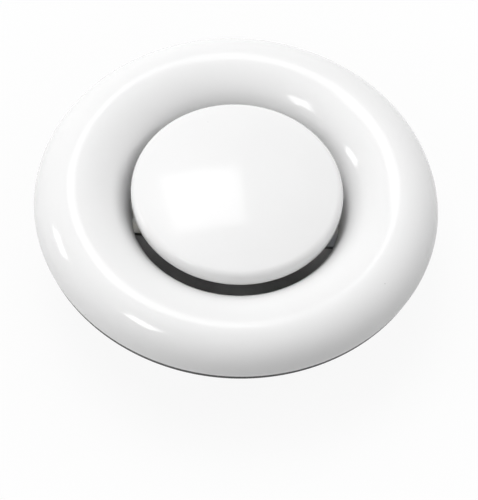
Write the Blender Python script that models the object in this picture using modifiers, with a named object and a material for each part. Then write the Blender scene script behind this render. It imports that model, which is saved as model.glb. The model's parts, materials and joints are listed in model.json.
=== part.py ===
"""Exhaust disc valve for a round ventilation duct, as separate pressed, turned and bent pieces.

The valve lies on its back: +Z points out of its face into the room, its axis is the Z axis, and the neck's
rear edge stands on Z = 0. Lengths are metres and angles are degrees. A path or an outline is a list of
(radius, height) points. The disc is shown open, as far as REST_LIFT above its seat.
"""

import math

import bmesh
import bpy
from mathutils import Matrix, Vector

# Clearances
SEAT_GAP = 0.0003  # between pieces that touch or are pressed together
THREAD_GAP = 0.0003  # between the spindle and what it runs in
TILT_GAP = 0.00045  # in front of and behind a clamp spring, which tilts on its rivet
NUT_GAP = 0.0005  # between the boss and the spindle nut, with the valve shut

# Face ring, pressed from sheet: throat, bulge, outer flank and a rim turned in behind
RING_SHEET = 0.0008
THROAT_WIDTH = 0.0205  # throat to the crest of the bulge
THROAT_DROP = 0.0194  # crest of the bulge down to the throat's straight collar
THROAT_COLLAR = 0.004  # straight length behind the throat
RING_FRONT = 0.01315  # crest of the bulge above the flank's foot
FLANK_WIDTH = 0.01315  # crest to the flank's foot
FLANK_END = 14  # angle on the flank's curve where the rim bends in
RIM_BEND = 0.0012
RIM_RETURN = 0.0081  # how far the rim is turned in

# Foam gasket, glued behind the rim
GASKET_THICKNESS = 0.0015
GASKET_WIDTH = 0.0071
GASKET_INSET = 0.0007  # from the ring's outside

# Neck, drawn from galvanised sheet, pressed over the throat's collar
NECK_SHEET = 0.0008
NECK_RADIUS = 0.0465  # goes into a 100 mm duct, and sets the size of the throat, the ring and the disc
NECK_FLANGE = 0.0089  # from the outside of the collar to the outside of the neck
NECK_DEPTH = 0.0293  # flank's foot to the neck's rear edge
NECK_LIP = 0.002  # width of the lip turned in at the rear edge
NECK_BEND = 0.0016
COLLAR_BEND = 0.0008

# Cross bar, a joggled strip riveted behind the neck's flange
BAR_SHEET = 0.0015
BAR_WIDTH = 0.014
BAR_END_GAP = 0.0018  # from the bar's end to the neck's wall
BAR_CORNER = 0.003
BAR_JOGGLE = 0.0032  # how far its middle stands forward
BAR_MIDDLE = 0.011  # half length of the raised middle
BAR_RAMP = 0.006
BAR_BEND = 0.002

# Rivets
RIVET_SHANK = 0.0016
RIVET_HEAD = 0.0026
RIVET_DOME = 0.0012
FORMED_HEAD = 0.0022  # the end that is pressed out when the rivet is set
BAR_RIVET_SPACING = 0.007
BAR_RIVET_INSET = 0.0023  # from the bar's end to the rivets' line

# Spindle, nuts and washer
SPINDLE_RADIUS = 0.00295
SPINDLE_POINT = 0.0007  # chamfer at its free end
NUT_ACROSS = 0.010  # across the flats
NUT_CHAMFER = 30  # angle of the turned ends' bevel
SPINDLE_NUT_HEIGHT = 0.0045
PILOT_WALL = 0.0012  # wall of the spindle nut's pilot, which sits in the bar
LOCK_NUT_HEIGHT = 0.0032
WASHER_RADIUS = 0.006
WASHER_THICKNESS = 0.001

# Valve disc, pressed from sheet, with its boss
DISC_SHEET = 0.0008
DISC_OVERLAP = 0.0004  # how far the disc reaches past the throat's narrowest place
DISC_ROUNDING = 0.003
DISC_SKIRT = 0.0022  # straight skirt below the rounding
DISC_DOME = 0.003  # how much the middle stands above the rounding
REST_LIFT = 0.00765  # how far the disc stands above its seat
BOSS_RADIUS = 0.008
BOSS_FLANGE = 0.0014
HUB_RADIUS = 0.005
HUB_FILLET = 0.001

# Clamp springs, bent from strip, on the outside of the neck
SPRING_COUNT = 3
SPRING_FIRST = 90  # angle of the first one, round from +X
SPRING_SHEET = 0.0005
SPRING_WIDTH = 0.012
SPRING_CORNER = 0.002
SPRING_RIVET_DROP = 0.0035  # from the start of the neck's bend to the rivet
SPRING_TAB = 0.0032  # above the rivet
SPRING_FLAT = 0.002  # below the rivet
SPRING_BOW = 0.0039  # how far the bow stands out
SPRING_RISE = 0.0062  # height in which it bows out
SPRING_TAIL = 0.0045  # height below the bow
SPRING_TUCK = 0.0017  # how far the tail comes back in

# Facets
RING_STEPS = 64
HUB_STEPS = 24
RIVET_STEPS = 12


def on_ellipse(centre, across, high, start, end, steps):
    """Points on an ellipse from one angle to another, both included."""
    turns = [math.radians(start + (end - start) * i / steps) for i in range(steps + 1)]
    return [Vector((centre[0] + across * math.cos(t), centre[1] + high * math.sin(t))) for t in turns]


def filleted(corners, steps=2):
    """A path through (radius, height, fillet) corners, with an arc at each corner that has a fillet."""
    path = []
    for i, (r, z, fillet) in enumerate(corners):
        corner = Vector((r, z))
        if not fillet:
            path.append(corner)
            continue
        back = (Vector(corners[i - 1][:2]) - corner).normalized()
        ahead = (Vector(corners[i + 1][:2]) - corner).normalized()
        half = back.angle(ahead) / 2
        centre = corner + (back + ahead).normalized() * fillet / math.sin(half)
        start = (corner + back * fillet / math.tan(half) - centre).normalized()
        end = (corner + ahead * fillet / math.tan(half) - centre).normalized()
        path += [centre + fillet * start.slerp(end, k / steps) for k in range(steps + 1)]
    return path


def sheet_outline(face, thickness):
    """The outline of a sheet whose face follows the path and whose thickness lies to the right of it."""
    back = []
    for i, point in enumerate(face):
        sides = []
        if i > 0:
            sides.append((point - face[i - 1]).normalized())
        if i < len(face) - 1:
            sides.append((face[i + 1] - point).normalized())
        normals = [Vector((side.y, -side.x)) for side in sides]
        mean = sum(normals, Vector((0, 0))).normalized()
        moved = point + mean * thickness / mean.dot(normals[0])
        back.append(Vector((0, point.y - thickness)) if point.x == 0 else moved)
    return list(face) + back[::-1]


def material(name, colour, roughness, metallic):
    """A Principled material of one colour."""
    made = bpy.data.materials.new(name)
    made.use_nodes = True
    shader = made.node_tree.nodes["Principled BSDF"]
    shader.inputs["Base Color"].default_value = (*colour, 1)
    shader.inputs["Roughness"].default_value = roughness
    shader.inputs["Metallic"].default_value = metallic
    return made


def new_object(name, mesh, collection):
    """An object for the mesh, in the collection."""
    made = bpy.data.objects.new(name, mesh)
    collection.objects.link(made)
    return made


def smooth(made):
    """Smooth shading, with the sharp edges kept."""
    made.data.shade_smooth()
    made.data.set_sharp_from_angle(angle=math.radians(35))


def add_screw(made, steps):
    """A full turn of the object's profile about its own Z axis."""
    screw = made.modifiers.new("Turn", "SCREW")
    screw.steps = steps
    screw.render_steps = steps
    screw.use_merge_vertices = True
    screw.merge_threshold = 0.00001
    screw.use_smooth_shade = True


def turned(name, outline, steps, collection):
    """A turned body. An outline that starts and ends on the axis stays open there, any other is closed."""
    points = [(point[0], 0, point[1]) for point in outline]
    edges = [(i, i + 1) for i in range(len(points) - 1)]
    if outline[0][0] > 0:
        edges.append((len(points) - 1, 0))
    mesh = bpy.data.meshes.new(name)
    mesh.from_pydata(points, edges, [])
    made = new_object(name, mesh, collection)
    add_screw(made, steps)
    return made


def strip(name, path, half_widths, thickness, collection):
    """A bent strip: the path is its middle line, along X and Z, and each point has its own half width."""
    points = [(p.x, side * w, p.y) for p, w in zip(path, half_widths) for side in (-1, 1)]
    faces = [(2 * i, 2 * i + 1, 2 * i + 3, 2 * i + 2) for i in range(len(path) - 1)]
    mesh = bpy.data.meshes.new(name)
    mesh.from_pydata(points, [], faces)
    made = new_object(name, mesh, collection)
    wall = made.modifiers.new("Sheet", "SOLIDIFY")
    wall.thickness = thickness
    wall.offset = 0
    wall.use_even_offset = True
    return made


def rounded_width(width, corner, distance):
    """Half the width of a strip at a distance from its end, with the end's corners rounded."""
    reach = min(max(distance, 0), corner)
    return width / 2 - corner + math.sqrt(corner**2 - (corner - reach) ** 2)


def cylinder(name, radius, length, steps, collection):
    """A closed cylinder about its own Z axis, centred on its origin."""
    mesh = bpy.data.meshes.new(name)
    shape = bmesh.new()
    bmesh.ops.create_cone(
        shape, cap_ends=True, segments=steps, radius1=radius, radius2=radius, depth=length
    )
    shape.to_mesh(mesh)
    shape.free()
    return new_object(name, mesh, collection)


def combine(made, other, operation):
    """A live Boolean of the object with another one."""
    boolean = made.modifiers.new(other.name, "BOOLEAN")
    boolean.object = other
    boolean.operation = operation
    boolean.solver = "EXACT"


def hidden(made):
    """Marks a helper that only cuts or joins."""
    made.hide_render = True
    made.display_type = "WIRE"
    return made


def hole(made, name, radius, length, centre, turn=None):
    """Drills a round hole of this length about the centre, along Z or turned from it."""
    cutter = hidden(cylinder(name, radius, length, RIVET_STEPS, cutters))
    cutter.matrix_world = Matrix.Translation(centre) @ (turn or Matrix.Identity(4))
    combine(made, cutter, "DIFFERENCE")


def hex_nut(name, height, bore, z, pilot=None):
    """A hexagon nut standing on height z, chamfered at both ends. A pilot is a (radius, length) below it."""
    corner = NUT_ACROSS / math.sqrt(3)
    cut = corner - NUT_ACROSS / 2
    drop = cut * math.tan(math.radians(NUT_CHAMFER))
    nut = cylinder(name, corner, height, 6, parts)
    nut.data.transform(Matrix.Translation((0, 0, height / 2)))
    nut.location.z = z
    barrel_outline = [
        (0, height),
        (corner - cut, height),
        (corner, height - drop),
        (corner, drop),
        (corner - cut, 0),
        (0, 0),
    ]
    barrel = hidden(turned(name + "_barrel", barrel_outline, HUB_STEPS, cutters))
    barrel.location.z = z
    combine(nut, barrel, "INTERSECT")
    if pilot:
        length = pilot[1] + height / 2
        collar = hidden(cylinder(name + "_pilot", pilot[0], length, HUB_STEPS, cutters))
        collar.location.z = z + height / 2 - length / 2
        combine(nut, collar, "UNION")
    drill = hidden(cylinder(name + "_bore", bore, 4 * height, HUB_STEPS, cutters))
    drill.location.z = z
    combine(nut, drill, "DIFFERENCE")
    return nut


def domed(radius, height, steps=2):
    """A rivet head's dome, from its middle down to its edge, on height 0."""
    sphere = (radius**2 + height**2) / (2 * height)
    reach = math.degrees(math.asin(radius / sphere))
    arc = on_ellipse((0, height - sphere), sphere, sphere, 90, 90 - reach, steps)
    return [Vector((0, height))] + arc[1:]


def rivet(name, grip, collection):
    """A rivet along Z: its dome stands on height 0 and its formed end lies one grip below."""
    formed = [Vector((p.x, -grip - p.y)) for p in domed(FORMED_HEAD, RIVET_DOME)[::-1]]
    shank = [Vector((RIVET_SHANK, 0)), Vector((RIVET_SHANK, -grip))]
    outline = domed(RIVET_HEAD, RIVET_DOME) + shank + formed
    made = turned(name, outline, RIVET_STEPS, collection)
    smooth(made)
    return made


# Start from an empty scene
for old in list(bpy.data.objects):
    bpy.data.objects.remove(old)

parts = bpy.data.collections.new("ventilation_disc_valve")
cutters = bpy.data.collections.new("cutters")
bpy.context.scene.collection.children.link(parts)
bpy.context.scene.collection.children.link(cutters)

paint = material("white_enamel", (0.86, 0.86, 0.86), 0.25, 0.0)
zinc = material("zinc_plated_steel", (0.55, 0.56, 0.58), 0.35, 1.0)
galvanised = material("galvanised_sheet", (0.50, 0.51, 0.52), 0.45, 1.0)
spring_steel = material("spring_steel", (0.42, 0.42, 0.43), 0.30, 1.0)
aluminium = material("rivet_aluminium", (0.70, 0.70, 0.71), 0.4, 1.0)
foam = material("grey_foam", (0.10, 0.10, 0.105), 0.9, 0.0)

# Places that follow from the sizes
collar_inside = NECK_RADIUS - NECK_FLANGE - NECK_SHEET
throat_radius = collar_inside - SEAT_GAP - RING_SHEET
crest_radius = throat_radius + THROAT_WIDTH
throat_z = NECK_DEPTH + RING_FRONT - THROAT_DROP
collar_end_z = throat_z - THROAT_COLLAR
bar_end_front = collar_end_z - SEAT_GAP
bar_front = bar_end_front + BAR_JOGGLE
bar_back = bar_front - BAR_SHEET
bar_end = NECK_RADIUS - NECK_SHEET - BAR_END_GAP
nut_bore = SPINDLE_RADIUS + THREAD_GAP
nut_front = bar_front + SEAT_GAP + SPINDLE_NUT_HEIGHT
pilot_radius = nut_bore + PILOT_WALL
disc_radius = throat_radius + DISC_OVERLAP
seat_share = (crest_radius - disc_radius) / (THROAT_WIDTH + SEAT_GAP)
disc_z = throat_z + (THROAT_DROP + SEAT_GAP) * math.sqrt(1 - seat_share**2) + REST_LIFT
hub_end_z = nut_front + NUT_GAP + REST_LIFT
spring_radius = NECK_RADIUS + TILT_GAP + SPRING_SHEET / 2
spring_rivet_z = collar_end_z + NECK_SHEET - NECK_BEND - SPRING_RIVET_DROP

# Face ring: up the throat, over the bulge, down the flank, round the rim and back in behind it
end = math.radians(FLANK_END)
flank_normal = Vector((math.cos(end) / FLANK_WIDTH, math.sin(end) / RING_FRONT)).normalized()
flank_foot = Vector((crest_radius + FLANK_WIDTH * math.cos(end), RING_FRONT * math.sin(end)))
rim_centre = flank_foot - RIM_BEND * flank_normal
rim_turn = math.degrees(math.atan2(flank_normal.y, flank_normal.x))
rim_back = rim_centre.y - RIM_BEND
ring_radius = rim_centre.x + RIM_BEND
throat_centre = (crest_radius, RING_FRONT - THROAT_DROP)
ring_face = [Vector((throat_radius, throat_centre[1] - THROAT_COLLAR))]
ring_face += on_ellipse(throat_centre, THROAT_WIDTH, THROAT_DROP, 180, 90, 7)
ring_face += on_ellipse((crest_radius, 0), FLANK_WIDTH, RING_FRONT, 90, FLANK_END, 6)[1:]
ring_face += on_ellipse(rim_centre, RIM_BEND, RIM_BEND, rim_turn, 0, 1)[1:]
ring_face += on_ellipse(rim_centre, RIM_BEND, RIM_BEND, 0, -90, 2)[1:]
ring_face.append(Vector((ring_radius - RIM_RETURN, rim_back)))
valve_ring = turned("valve_ring", sheet_outline(ring_face, RING_SHEET), RING_STEPS, parts)
valve_ring.location.z = NECK_DEPTH
valve_ring.data.materials.append(paint)
smooth(valve_ring)

# Foam gasket under the turned-in rim
gasket_top = NECK_DEPTH + rim_back - SEAT_GAP
gasket_outside = ring_radius - GASKET_INSET
gasket_outline = [
    (gasket_outside - GASKET_WIDTH, 0),
    (gasket_outside - GASKET_WIDTH, GASKET_THICKNESS),
    (gasket_outside, GASKET_THICKNESS),
    (gasket_outside, 0),
]
ring_gasket = turned("ring_gasket", gasket_outline, RING_STEPS, parts)
ring_gasket.location.z = gasket_top - GASKET_THICKNESS
ring_gasket.data.materials.append(foam)

# Neck: down the collar that holds the throat, out along the flange, down the sleeve and in at the lip
neck_corners = [
    (collar_inside + NECK_SHEET, throat_z, 0),
    (collar_inside + NECK_SHEET, collar_end_z + NECK_SHEET, COLLAR_BEND),
    (NECK_RADIUS, collar_end_z + NECK_SHEET, NECK_BEND),
    (NECK_RADIUS, 0, NECK_BEND),
    (NECK_RADIUS - NECK_SHEET - NECK_LIP, 0, 0),
]
neck_sleeve = turned(
    "neck_sleeve", sheet_outline(filleted(neck_corners), NECK_SHEET), RING_STEPS, parts
)
neck_sleeve.data.materials.append(galvanised)
smooth(neck_sleeve)

# Cross bar: a strip with a raised middle, and rounded corners at both ends
ramp_end = BAR_MIDDLE + BAR_RAMP
bar_middle_z = bar_front - BAR_SHEET / 2
bar_end_z = bar_end_front - BAR_SHEET / 2
half_corners = [
    (0, bar_middle_z, 0),
    (BAR_MIDDLE, bar_middle_z, BAR_BEND),
    (ramp_end, bar_end_z, BAR_BEND),
    (bar_end, bar_end_z, 0),
]
half_bar = filleted(half_corners)[:-1]
half_bar += [
    Vector((bar_end - BAR_CORNER * (1 - math.sin(math.radians(a))), bar_end_z))
    for a in (0, 30, 60, 90)
]
bar_path = [Vector((-p.x, p.y)) for p in half_bar[:0:-1]] + half_bar
bar_widths = [rounded_width(BAR_WIDTH, BAR_CORNER, bar_end - abs(p.x)) for p in bar_path]
cross_bar = strip("cross_bar", bar_path, bar_widths, BAR_SHEET, parts)
cross_bar.data.materials.append(zinc)
hole(cross_bar, "pilot_hole", pilot_radius + SEAT_GAP, 4 * BAR_SHEET, (0, 0, bar_front))

# Rivets that hold the bar: domes behind the bar, formed ends in front of the neck's flange
bar_grip = BAR_SHEET + NECK_SHEET + 3 * SEAT_GAP
upside_down = Matrix.Rotation(math.pi, 4, "X")
rivet_places = [
    Vector((x * (bar_end - BAR_RIVET_INSET), y * BAR_RIVET_SPACING / 2, bar_end_front - BAR_SHEET - SEAT_GAP))
    for x in (-1, 1)
    for y in (-1, 1)
]
for number, place in enumerate(rivet_places, 1):
    made = rivet(f"bar_rivet_{number}", bar_grip, parts)
    made.matrix_world = Matrix.Translation(place) @ upside_down
    made.data.materials.append(aluminium)
    drill = RIVET_SHANK + SEAT_GAP
    hole(cross_bar, f"bar_rivet_hole_{number}", drill, 4 * BAR_SHEET, place)
    hole(neck_sleeve, f"flange_rivet_hole_{number}", drill, 8 * NECK_SHEET, place + Vector((0, 0, BAR_SHEET)))

# Spindle nut: a weld nut on the bar's front, with a pilot down through the bar
pilot = (pilot_radius, BAR_SHEET)
spindle_nut = hex_nut("spindle_nut", SPINDLE_NUT_HEIGHT, nut_bore, bar_front + SEAT_GAP, pilot)
spindle_nut.data.materials.append(zinc)

# Lock washer and lock nut behind the bar
lock_washer = turned(
    "lock_washer",
    [
        (nut_bore, 0),
        (nut_bore, WASHER_THICKNESS),
        (WASHER_RADIUS, WASHER_THICKNESS),
        (WASHER_RADIUS, 0),
    ],
    HUB_STEPS,
    parts,
)
lock_washer.location.z = bar_back - SEAT_GAP - WASHER_THICKNESS
lock_washer.data.materials.append(zinc)
lock_nut_z = lock_washer.location.z - SEAT_GAP - LOCK_NUT_HEIGHT
lock_nut = hex_nut("lock_nut", LOCK_NUT_HEIGHT, nut_bore, lock_nut_z)
lock_nut.data.materials.append(zinc)

# Valve disc: from the middle of the dome out to the rounding and down the skirt
rounding_radius = disc_radius - DISC_ROUNDING
rounding_z = DISC_SKIRT
inner_sphere = (rounding_radius**2 + DISC_DOME**2) / (2 * DISC_DOME)
dome_sphere = inner_sphere + DISC_ROUNDING
dome_reach = math.degrees(math.asin(rounding_radius / inner_sphere))
dome_top = rounding_z + DISC_ROUNDING + DISC_DOME
disc_face = on_ellipse((0, dome_top - dome_sphere), dome_sphere, dome_sphere, 90, 90 - dome_reach, 5)
disc_face[0].x = 0
disc_face += on_ellipse((rounding_radius, rounding_z), DISC_ROUNDING, DISC_ROUNDING, 90 - dome_reach, 0, 4)[1:]
disc_face.append(Vector((disc_radius, 0)))
valve_disc = turned("valve_disc", sheet_outline(disc_face, DISC_SHEET), RING_STEPS, parts)
valve_disc.location.z = disc_z
valve_disc.data.materials.append(paint)
smooth(valve_disc)

# Boss behind the disc, and the spindle that it stiffens
boss_top = disc_z + dome_top - DISC_SHEET - SEAT_GAP - BOSS_RADIUS**2 / (2 * dome_sphere)
hub_length = boss_top - hub_end_z
boss_corners = [
    (nut_bore, 0, 0),
    (nut_bore, hub_length, 0),
    (BOSS_RADIUS, hub_length, 0),
    (BOSS_RADIUS, hub_length - BOSS_FLANGE, 0),
    (HUB_RADIUS, hub_length - BOSS_FLANGE, HUB_FILLET),
    (HUB_RADIUS, 0, 0),
]
disc_boss = turned("disc_boss", filleted(boss_corners), HUB_STEPS, parts)
disc_boss.location.z = hub_end_z
disc_boss.data.materials.append(zinc)
smooth(disc_boss)

spindle_top = disc_z + dome_top - DISC_SHEET - SEAT_GAP
spindle_end = REST_LIFT + SEAT_GAP
spindle = turned(
    "spindle",
    [
        (0, spindle_top - spindle_end),
        (SPINDLE_RADIUS, spindle_top - spindle_end),
        (SPINDLE_RADIUS, SPINDLE_POINT),
        (SPINDLE_RADIUS - SPINDLE_POINT, 0),
        (0, 0),
    ],
    HUB_STEPS,
    parts,
)
spindle.location.z = spindle_end
spindle.data.materials.append(zinc)
smooth(spindle)

# Clamp springs: a flat tab on the rivet, a bow outwards and a tail that comes part of the way back
rise_steps = 7
tail_steps = 4
spring_path = [Vector((0, SPRING_TAB - SPRING_CORNER * (1 - math.cos(math.radians(a))))) for a in (0, 45, 90)]
spring_path.append(Vector((0, 0)))
for i in range(rise_steps + 1):
    share = i / rise_steps
    out = SPRING_BOW * (1 - math.cos(math.pi * share)) / 2
    spring_path.append(Vector((out, -SPRING_FLAT - SPRING_RISE * share)))
for i in range(1, tail_steps + 1):
    share = i / tail_steps
    out = SPRING_BOW - SPRING_TUCK * (1 - math.cos(math.pi / 2 * share))
    spring_path.append(Vector((out, -SPRING_FLAT - SPRING_RISE - SPRING_TAIL * share)))
spring_widths = [rounded_width(SPRING_WIDTH, SPRING_CORNER, SPRING_TAB - p.y) for p in spring_path]
spring_grip = NECK_SHEET + SPRING_SHEET + 2 * TILT_GAP + SEAT_GAP
outwards = Matrix.Rotation(math.pi / 2, 4, "Y")
for number in range(1, SPRING_COUNT + 1):
    angle = math.radians(SPRING_FIRST + 360 * (number - 1) / SPRING_COUNT)
    turn = Matrix.Rotation(angle, 4, "Z")
    at_rivet = turn @ Matrix.Translation((spring_radius, 0, spring_rivet_z))
    spring = strip(f"clamp_spring_{number}", spring_path, spring_widths, SPRING_SHEET, parts)
    spring.matrix_world = at_rivet
    spring.data.materials.append(spring_steel)
    drill = RIVET_SHANK + TILT_GAP
    hole(spring, f"spring_hole_{number}", drill, 8 * SPRING_SHEET, at_rivet.translation, turn @ outwards)
    smooth(spring)
    head = turn @ Matrix.Translation((spring_radius + SPRING_SHEET / 2 + TILT_GAP, 0, spring_rivet_z))
    made = rivet(f"spring_rivet_{number}", spring_grip, parts)
    made.matrix_world = head @ outwards
    made.data.materials.append(aluminium)
    drill = RIVET_SHANK + SEAT_GAP
    wall = turn @ Matrix.Translation((NECK_RADIUS, 0, spring_rivet_z))
    hole(neck_sleeve, f"neck_rivet_hole_{number}", drill, 8 * NECK_SHEET, wall.translation, turn @ outwards)

bpy.context.view_layer.update()
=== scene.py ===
# %% [markdown]
# # A ventilation disc valve, modelled and finished piece by piece
#
# The valve is an air outlet for a ceiling or a wall: a bulged white ring, and a white disc that screws in
# and out of the ring's throat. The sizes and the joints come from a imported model, the frame. Its pieces
# have the right form, but coarse facets and plain colours. This lesson models each piece again with a fine
# surface, gives each material its finish, and lights the valve like a product photo.

import json
import math

import bpy
from mathutils import Matrix, Vector

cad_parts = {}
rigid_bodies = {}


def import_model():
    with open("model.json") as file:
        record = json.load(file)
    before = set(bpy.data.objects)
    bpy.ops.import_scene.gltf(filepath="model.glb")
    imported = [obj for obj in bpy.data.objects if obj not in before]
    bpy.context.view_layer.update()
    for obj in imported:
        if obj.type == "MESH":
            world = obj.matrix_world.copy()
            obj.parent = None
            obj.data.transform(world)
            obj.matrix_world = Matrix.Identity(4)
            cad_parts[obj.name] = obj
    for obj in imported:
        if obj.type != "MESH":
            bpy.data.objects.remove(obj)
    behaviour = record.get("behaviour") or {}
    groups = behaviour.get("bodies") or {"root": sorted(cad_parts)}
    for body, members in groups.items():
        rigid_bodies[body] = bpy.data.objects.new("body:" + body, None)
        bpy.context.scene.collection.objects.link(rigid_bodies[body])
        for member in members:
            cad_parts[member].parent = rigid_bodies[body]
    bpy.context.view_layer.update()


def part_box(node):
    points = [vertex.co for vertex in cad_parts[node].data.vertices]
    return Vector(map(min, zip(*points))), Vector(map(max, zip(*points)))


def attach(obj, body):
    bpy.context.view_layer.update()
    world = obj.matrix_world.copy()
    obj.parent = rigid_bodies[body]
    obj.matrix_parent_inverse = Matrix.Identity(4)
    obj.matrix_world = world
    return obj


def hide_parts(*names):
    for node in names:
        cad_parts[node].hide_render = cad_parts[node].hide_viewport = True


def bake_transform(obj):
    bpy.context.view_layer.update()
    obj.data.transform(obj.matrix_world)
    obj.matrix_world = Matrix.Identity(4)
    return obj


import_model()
bpy.ops.object.select_all(action="DESELECT")

# %% [markdown]
# ## The camera
#
# A long lens, far away, sees the ring as an almost true ellipse, as the photo does. The place of the camera
# was found by laying circles of the ring and of the disc over their outlines in the photo. The lens isn't
# shifted: the camera is turned a little off the valve's middle, and rolled, because the photo was taken
# askew.

# %% Camera
CAMERA_HEIGHT = 55.6
CAMERA_DISTANCE = 0.8
CAMERA_ROLL = 4.27
LENS = 168.3
TURNED_ROUND = Vector((0, 0, 0.030))
LOOKS_AT = Vector((0.0020, -0.0184, 0.030))


def from_angles(azimuth, elevation):
    """The direction from the valve to something at these angles. Azimuth 0 is the camera's side."""
    a, e = math.radians(azimuth), math.radians(elevation)
    return Vector((math.sin(a) * math.cos(e), -math.cos(a) * math.cos(e), math.sin(e)))


camera = bpy.data.objects.new("camera", bpy.data.cameras.new("camera"))
bpy.context.scene.collection.objects.link(camera)
bpy.context.scene.camera = camera
camera.data.lens = LENS
eye = TURNED_ROUND + CAMERA_DISTANCE * from_angles(0, CAMERA_HEIGHT)
aim = (LOOKS_AT - eye).to_track_quat("-Z", "Y").to_matrix().to_4x4()
camera.matrix_world = Matrix.Translation(eye) @ aim @ Matrix.Rotation(math.radians(CAMERA_ROLL), 4, "Z")
print("the camera stands at", [round(x, 3) for x in eye])

# %% [markdown]
# ## Turned pieces
#
# Most of the valve is round: the ring and the disc are spun or pressed from sheet, the neck is drawn, and
# the nuts, rivets and the boss are turned. Each is one profile that goes round the axis. By hand you would
# collapse a small plane to a point, pull that point along the profile with Extrude, and use Spin. The
# functions below do just that. A profile is a list of stations, each a radius and a height, and its round
# stretches come from arcs.

# %% Profiles
ROUND = 192
SMALL_ROUND = 64
TINY_ROUND = 32
SEED = 0.001
MERGE = 0.000002


def arc(centre, across, high, start, end, steps):
    """Stations on an ellipse from one angle to another, in degrees, both ends included."""
    turns = [math.radians(start + (end - start) * i / steps) for i in range(steps + 1)]
    return [(centre[0] + across * math.cos(t), centre[1] + high * math.sin(t)) for t in turns]


def draw_chain(name, points):
    """A line of edges through the points: a plane collapsed to one point, then extruded along them."""
    bpy.ops.object.select_all(action="DESELECT")
    bpy.ops.mesh.primitive_plane_add(size=SEED, location=points[0])
    made = bpy.context.active_object
    made.name = name
    bpy.ops.object.transform_apply(location=True, rotation=True, scale=True)
    bpy.ops.object.mode_set(mode="EDIT")
    bpy.ops.mesh.select_all(action="SELECT")
    bpy.ops.mesh.merge(type="CENTER")
    for before, after in zip(points, points[1:]):
        step = Vector(after) - Vector(before)
        bpy.ops.mesh.extrude_region_move(TRANSFORM_OT_translate={"value": step})
    return made


def spin(name, stations, count, closed):
    """A turned piece. A closed profile comes back to its start, and an open one may end on the axis."""
    points = [(radius, 0, height) for radius, height in stations]
    if closed:
        points.append(points[0])
    made = draw_chain(name, points)
    bpy.ops.mesh.select_all(action="SELECT")
    bpy.ops.mesh.spin(steps=count, angle=2 * math.pi, center=(0, 0, 0), axis=(0, 0, 1))
    bpy.ops.mesh.select_all(action="SELECT")
    bpy.ops.mesh.remove_doubles(threshold=MERGE)
    bpy.ops.mesh.normals_make_consistent(inside=False)
    bpy.ops.object.mode_set(mode="OBJECT")
    return made


# %% Modifiers
EDGE_ANGLE = math.radians(50)
FINE_EDGE = 0.00015


def activate(made):
    """Makes a piece the active object, and the only selected one."""
    bpy.ops.object.select_all(action="DESELECT")
    made.select_set(True)
    bpy.context.view_layer.objects.active = made


def apply_modifier(made, kind, **settings):
    """Adds a modifier with these settings and applies it."""
    modifier = made.modifiers.new(kind.title(), kind)
    for key, value in settings.items():
        setattr(modifier, key, value)
    activate(made)
    bpy.ops.object.modifier_apply(modifier=modifier.name)


def thicken(made, thickness, side):
    """Gives a sheet its thickness on one side: 1 along its normals, -1 against them, 0 both ways."""
    apply_modifier(made, "SOLIDIFY", thickness=thickness, offset=side, use_even_offset=True)


def soften_edges(made, width, segments=2):
    """A small bevel on the sharp edges."""
    apply_modifier(
        made, "BEVEL", width=width, segments=segments, limit_method="ANGLE", angle_limit=EDGE_ANGLE
    )


# %% Shading and measures
SHARP_ANGLE = math.radians(40)


def shade(made):
    """Smooth shading that keeps the sharp edges."""
    activate(made)
    bpy.ops.object.shade_smooth_by_angle(angle=SHARP_ANGLE)


def mm(length):
    """A length as text."""
    return f"{length * 1000:.3f} mm"


def measure(made):
    """Prints how far a piece reaches and its number of triangles."""
    reach = max(math.hypot(v.co.x, v.co.y) for v in made.data.vertices)
    heights = [v.co.z for v in made.data.vertices]
    count = sum(len(p.vertices) - 2 for p in made.data.polygons)
    print(f"{made.name}: radius {mm(reach)}, z {mm(min(heights))} to {mm(max(heights))}, {count} triangles")


def settle(made, body, slot, *nodes):
    """A finished piece: smooth, on its body, in place of its nodes. Its slot argument is not used."""
    shade(made)
    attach(made, body)
    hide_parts(*nodes)
    measure(made)
    return made


# %% [markdown]
# ## The face ring
#
# The ring is one pressing from 0.8 mm sheet. Its face comes up out of the throat in a wide quarter ellipse,
# crosses the crest and falls away in a tighter, lower quarter, and then bends in behind to a narrow flat
# rim. The whole look of the valve hangs on these two curves meeting smoothly at the crest, so the profile
# is drawn with many stations and spun. A subdivision surface would pull the curves inwards.

# %% The ring's profile
SHEET = 0.0008
THROAT_WIDTH = 0.0205
THROAT_DROP = 0.0194
THROAT_COLLAR = 0.004
FLANK_WIDTH = 0.01315
RING_FRONT = 0.01315
FLANK_END = 14
RIM_BEND = 0.0012
RIM_RETURN = 0.0081
THROAT_STEPS = 30
FLANK_STEPS = 24
BEND_STEPS = 6

ring_low, ring_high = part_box("valve_ring")
collar_end_z = ring_low.z
crest_z = ring_high.z
flank_z = crest_z - RING_FRONT
flank_turn = math.radians(FLANK_END)
flank_normal = Vector((math.cos(flank_turn) / FLANK_WIDTH, math.sin(flank_turn) / RING_FRONT)).normalized()
rim_radius = ring_high.x - RIM_BEND
rim_z = flank_z + RING_FRONT * math.sin(flank_turn) - RIM_BEND * flank_normal.y
crest_radius = rim_radius + RIM_BEND * flank_normal.x - FLANK_WIDTH * math.cos(flank_turn)
throat_radius = crest_radius - THROAT_WIDTH
throat_z = collar_end_z + THROAT_COLLAR
rim_turn = math.degrees(math.atan2(flank_normal.y, flank_normal.x))
print("the radius of the crest is", mm(crest_radius), "and that of the throat", mm(throat_radius))

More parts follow.
